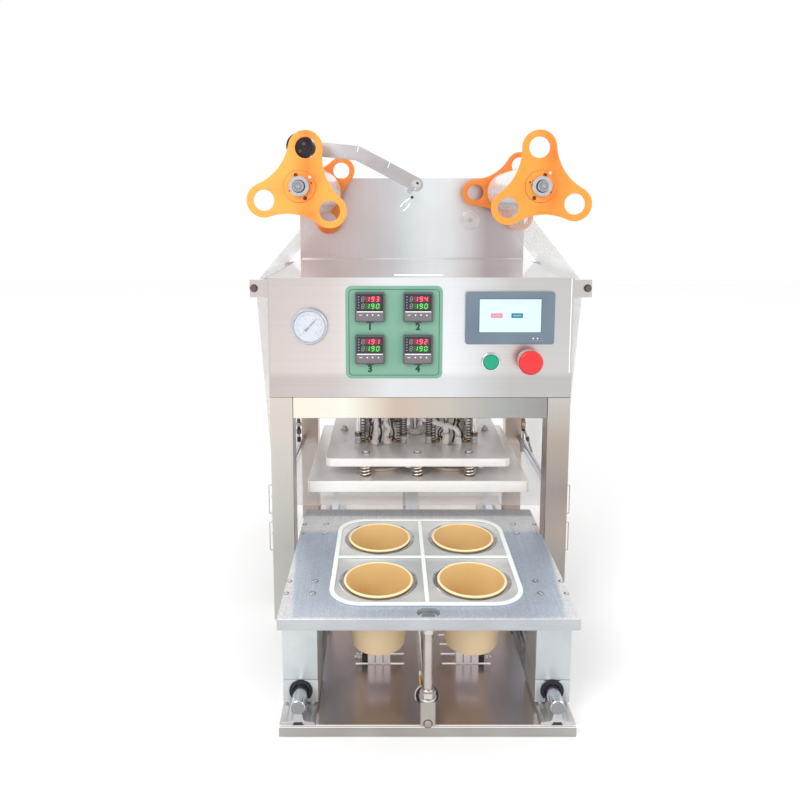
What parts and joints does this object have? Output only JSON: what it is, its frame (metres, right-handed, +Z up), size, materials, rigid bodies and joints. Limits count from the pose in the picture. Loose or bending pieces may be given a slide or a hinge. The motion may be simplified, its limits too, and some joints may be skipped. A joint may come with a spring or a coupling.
{
  "type": "cup sealing machine",
  "caption": "Bench-top pneumatic cup sealing machine with a sliding cup tray, a heated press head, a film web on lobed spools and a control housing.",
  "frame": {"origin": "on the floor, midway between the sides, under the face of the control panel", "axes": "+Z up, +X to the operator's right, +Y from the operator to the back of the machine"},
  "size_m": [0.5749, 0.7955, 0.8333],
  "materials": {
    "stainless_sheet": "fine brushed sheet, soft reflections",
    "machined_aluminium": "milled and lightly satin",
    "rail_steel": "ground shaft on an anodised support",
    "chromed_steel": "polished",
    "gauge_steel": "bright bezel with a white dial",
    "needle_black": "matte",
    "green_panel": "matte printed plate",
    "controller_black": "satin",
    "screen_bezel": "satin bezel round a glossy screen",
    "start_green": "glossy",
    "stop_red": "glossy",
    "orange_plastic": "satin, moulded",
    "sealing_film": "clear glossy film, white when wound",
    "heater_brass": "dulled by heat",
    "cup_paper": "uncoated card with a coated inside",
    "white_silicone": "soft, matte",
    "black_rubber": "matte",
    "motor_black": "satin"
  },
  "bodies": {
    "frame": {"base_plate": "stainless_sheet", "rail_left": "rail_steel", "rail_right": "rail_steel", "post_front_left": "stainless_sheet", "post_front_right": "stainless_sheet", "post_rear_left": "stainless_sheet", "post_rear_right": "stainless_sheet", "front_beam": "stainless_sheet", "bridge_plate": "machined_aluminium", "housing_shell": "stainless_sheet", "back_panel": "stainless_sheet", "gauge_case": "gauge_steel", "control_plate": "green_panel", "temp_controller_1": "controller_black", "temp_controller_2": "controller_black", "temp_controller_3": "controller_black", "temp_controller_4": "controller_black", "touch_screen": "screen_bezel", "press_cylinder": "machined_aluminium", "tray_cylinder": "machined_aluminium", "ejector_left": "machined_aluminium", "ejector_right": "machined_aluminium", "film_web": "sealing_film", "feed_motor": "motor_black"},
    "tray": {"tray_plate": "machined_aluminium", "tray_gasket": "white_silicone", "slide_leg_front_left": "machined_aluminium", "slide_leg_front_right": "machined_aluminium", "slide_leg_rear_left": "machined_aluminium", "slide_leg_rear_right": "machined_aluminium", "drive_post": "chromed_steel", "cup_1": "cup_paper", "cup_2": "cup_paper", "cup_3": "cup_paper", "cup_4": "cup_paper"},
    "head": {"head_upper_plate": "machined_aluminium", "sealing_head_1": "heater_brass", "sealing_head_2": "heater_brass", "sealing_head_3": "heater_brass", "sealing_head_4": "heater_brass"},
    "press_plate": {"head_lower_plate": "machined_aluminium"},
    "lifter_left": {"lifter_left": "machined_aluminium"},
    "lifter_right": {"lifter_right": "machined_aluminium"},
    "supply_spool": {"spool_shaft_left": "chromed_steel", "disc_front_left": "orange_plastic", "disc_rear_left": "orange_plastic", "film_roll_left": "sealing_film"},
    "takeup_spool": {"spool_shaft_right": "chromed_steel", "disc_front_right": "orange_plastic", "disc_rear_right": "orange_plastic", "film_roll_right": "sealing_film"},
    "corner_roller_left": {"corner_roller_left": "chromed_steel"},
    "corner_roller_right": {"corner_roller_right": "chromed_steel"},
    "lower_roller_left": {"lower_roller_left": "chromed_steel"},
    "lower_roller_right": {"lower_roller_right": "chromed_steel"},
    "arm": {"roll_arm": "machined_aluminium"},
    "arm_wheel": {"contact_wheel": "black_rubber"},
    "needle": {"gauge_needle": "needle_black"},
    "start_cap": {"start_button": "start_green"},
    "stop_head": {"estop_button": "stop_red"}
  },
  "joints": [
    {"name": "tray_slide", "type": "slide", "parent": "frame", "child": "tray", "axis": [0, 1, 0], "range_m": [0, 0.35]},
    {"name": "head_press", "type": "slide", "parent": "frame", "child": "head", "axis": [0, 0, -1], "range_m": [0, 0.024]},
    {"name": "plate_float", "type": "slide", "parent": "head", "child": "press_plate", "axis": [0, 0, 1], "range_m": [0, 0.012], "stiffness_N_per_m": 3000, "springref_m": -0.004},
    {"name": "lift_left", "type": "slide", "parent": "frame", "child": "lifter_left", "axis": [0, 0, 1], "range_m": [0, 0.018]},
    {"name": "lift_right", "type": "slide", "parent": "frame", "child": "lifter_right", "axis": [0, 0, 1], "range_m": [0, 0.018]},
    {"name": "takeup_spin", "type": "hinge", "parent": "frame", "child": "takeup_spool", "pos_m": [0.2, 0.23, 0.741], "axis": [0, 1, 0], "continuous": true},
    {"name": "supply_spin", "type": "hinge", "parent": "frame", "child": "supply_spool", "pos_m": [-0.2, 0.23, 0.741], "axis": [0, 1, 0], "continuous": true},
    {"name": "corner_spin_left", "type": "hinge", "parent": "frame", "child": "corner_roller_left", "pos_m": [-0.272, 0.2, 0.576], "axis": [0, 1, 0], "continuous": true},
    {"name": "corner_spin_right", "type": "hinge", "parent": "frame", "child": "corner_roller_right", "pos_m": [0.272, 0.2, 0.576], "axis": [0, 1, 0], "continuous": true},
    {"name": "lower_spin_left", "type": "hinge", "parent": "frame", "child": "lower_roller_left", "pos_m": [-0.246, 0.2, 0.189], "axis": [0, 1, 0], "continuous": true},
    {"name": "lower_spin_right", "type": "hinge", "parent": "frame", "child": "lower_roller_right", "pos_m": [0.246, 0.2, 0.189], "axis": [0, 1, 0], "continuous": true},
    {"name": "arm_lift", "type": "hinge", "parent": "frame", "child": "arm", "pos_m": [-0.005, 0.095, 0.746], "axis": [0, 1, 0], "range_deg": [0, 35]},
    {"name": "wheel_spin", "type": "hinge", "parent": "arm", "child": "arm_wheel", "pos_m": [-0.202, 0.077, 0.8084], "axis": [0, 1, 0], "continuous": true},
    {"name": "needle_turn", "type": "hinge", "parent": "frame", "child": "needle", "pos_m": [-0.1817, -0.007, 0.5139], "axis": [0, 1, 0], "range_deg": [-178, 92]},
    {"name": "start_press", "type": "slide", "parent": "frame", "child": "start_cap", "axis": [0, 1, 0], "range_m": [0, 0.004], "stiffness_N_per_m": 800, "springref_m": -0.001},
    {"name": "stop_press", "type": "slide", "parent": "frame", "child": "stop_head", "axis": [0, 1, 0], "range_m": [0, 0.006]}
  ],
  "couplings": [
    {"joint": "supply_spin", "follows": "takeup_spin", "ratio": 0.88889},
    {"joint": "corner_spin_left", "follows": "takeup_spin", "ratio": -6.1538},
    {"joint": "lower_spin_left", "follows": "takeup_spin", "ratio": -6.1538},
    {"joint": "lower_spin_right", "follows": "takeup_spin", "ratio": -6.1538},
    {"joint": "corner_spin_right", "follows": "takeup_spin", "ratio": -6.1538},
    {"joint": "wheel_spin", "follows": "takeup_spin", "ratio": -1.8182},
    {"joint": "lift_right", "follows": "lift_left", "ratio": 1}
  ]
}
